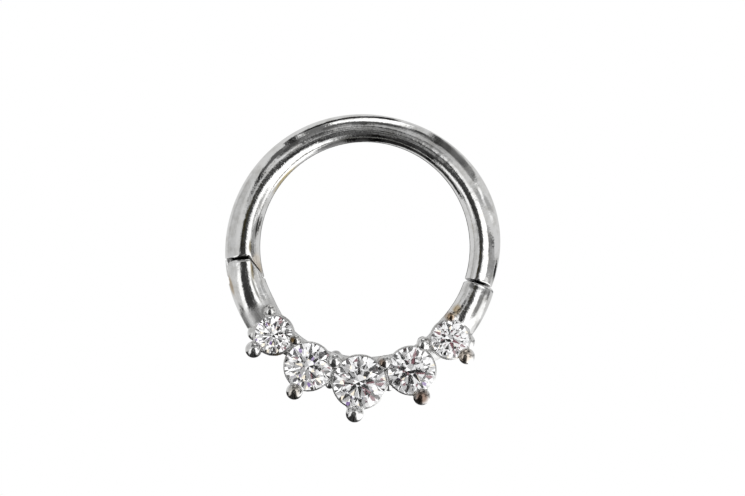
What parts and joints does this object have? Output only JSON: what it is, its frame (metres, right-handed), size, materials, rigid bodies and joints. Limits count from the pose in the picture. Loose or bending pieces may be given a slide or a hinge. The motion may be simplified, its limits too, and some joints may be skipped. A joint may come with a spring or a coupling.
{
  "type": "septum clicker",
  "caption": "Hinged metal septum ring with a row of round cut stones in prong cups on its lower bar, which swings open on a hidden pin.",
  "frame": {"origin": "centre of the ring's opening, on the surface that the ring lies on", "axes": "+Z along the ring's axis towards the front of the stones, +Y towards the plain crown of the ring, so the jewelled bar is at -Y and the hinge at -X"},
  "size_m": [0.0105, 0.0117, 0.0018],
  "materials": {
    "polished_steel": "mirror polished steel",
    "clear_stone": "faceted and clear, with slight fire"
  },
  "bodies": {
    "ring": {"ring_arc": "polished_steel"},
    "bar": {"jewelled_bar": "polished_steel", "hinge_pin": "polished_steel", "stone_far_left": "clear_stone", "stone_left": "clear_stone", "stone_centre": "clear_stone", "stone_right": "clear_stone", "stone_far_right": "clear_stone"}
  },
  "joints": [
    {"name": "bar_hinge", "type": "hinge", "parent": "ring", "child": "bar", "pos_m": [-0.00483, -0.0011, 0], "axis": [0, 0, -1], "range_deg": [0, 75]}
  ]
}
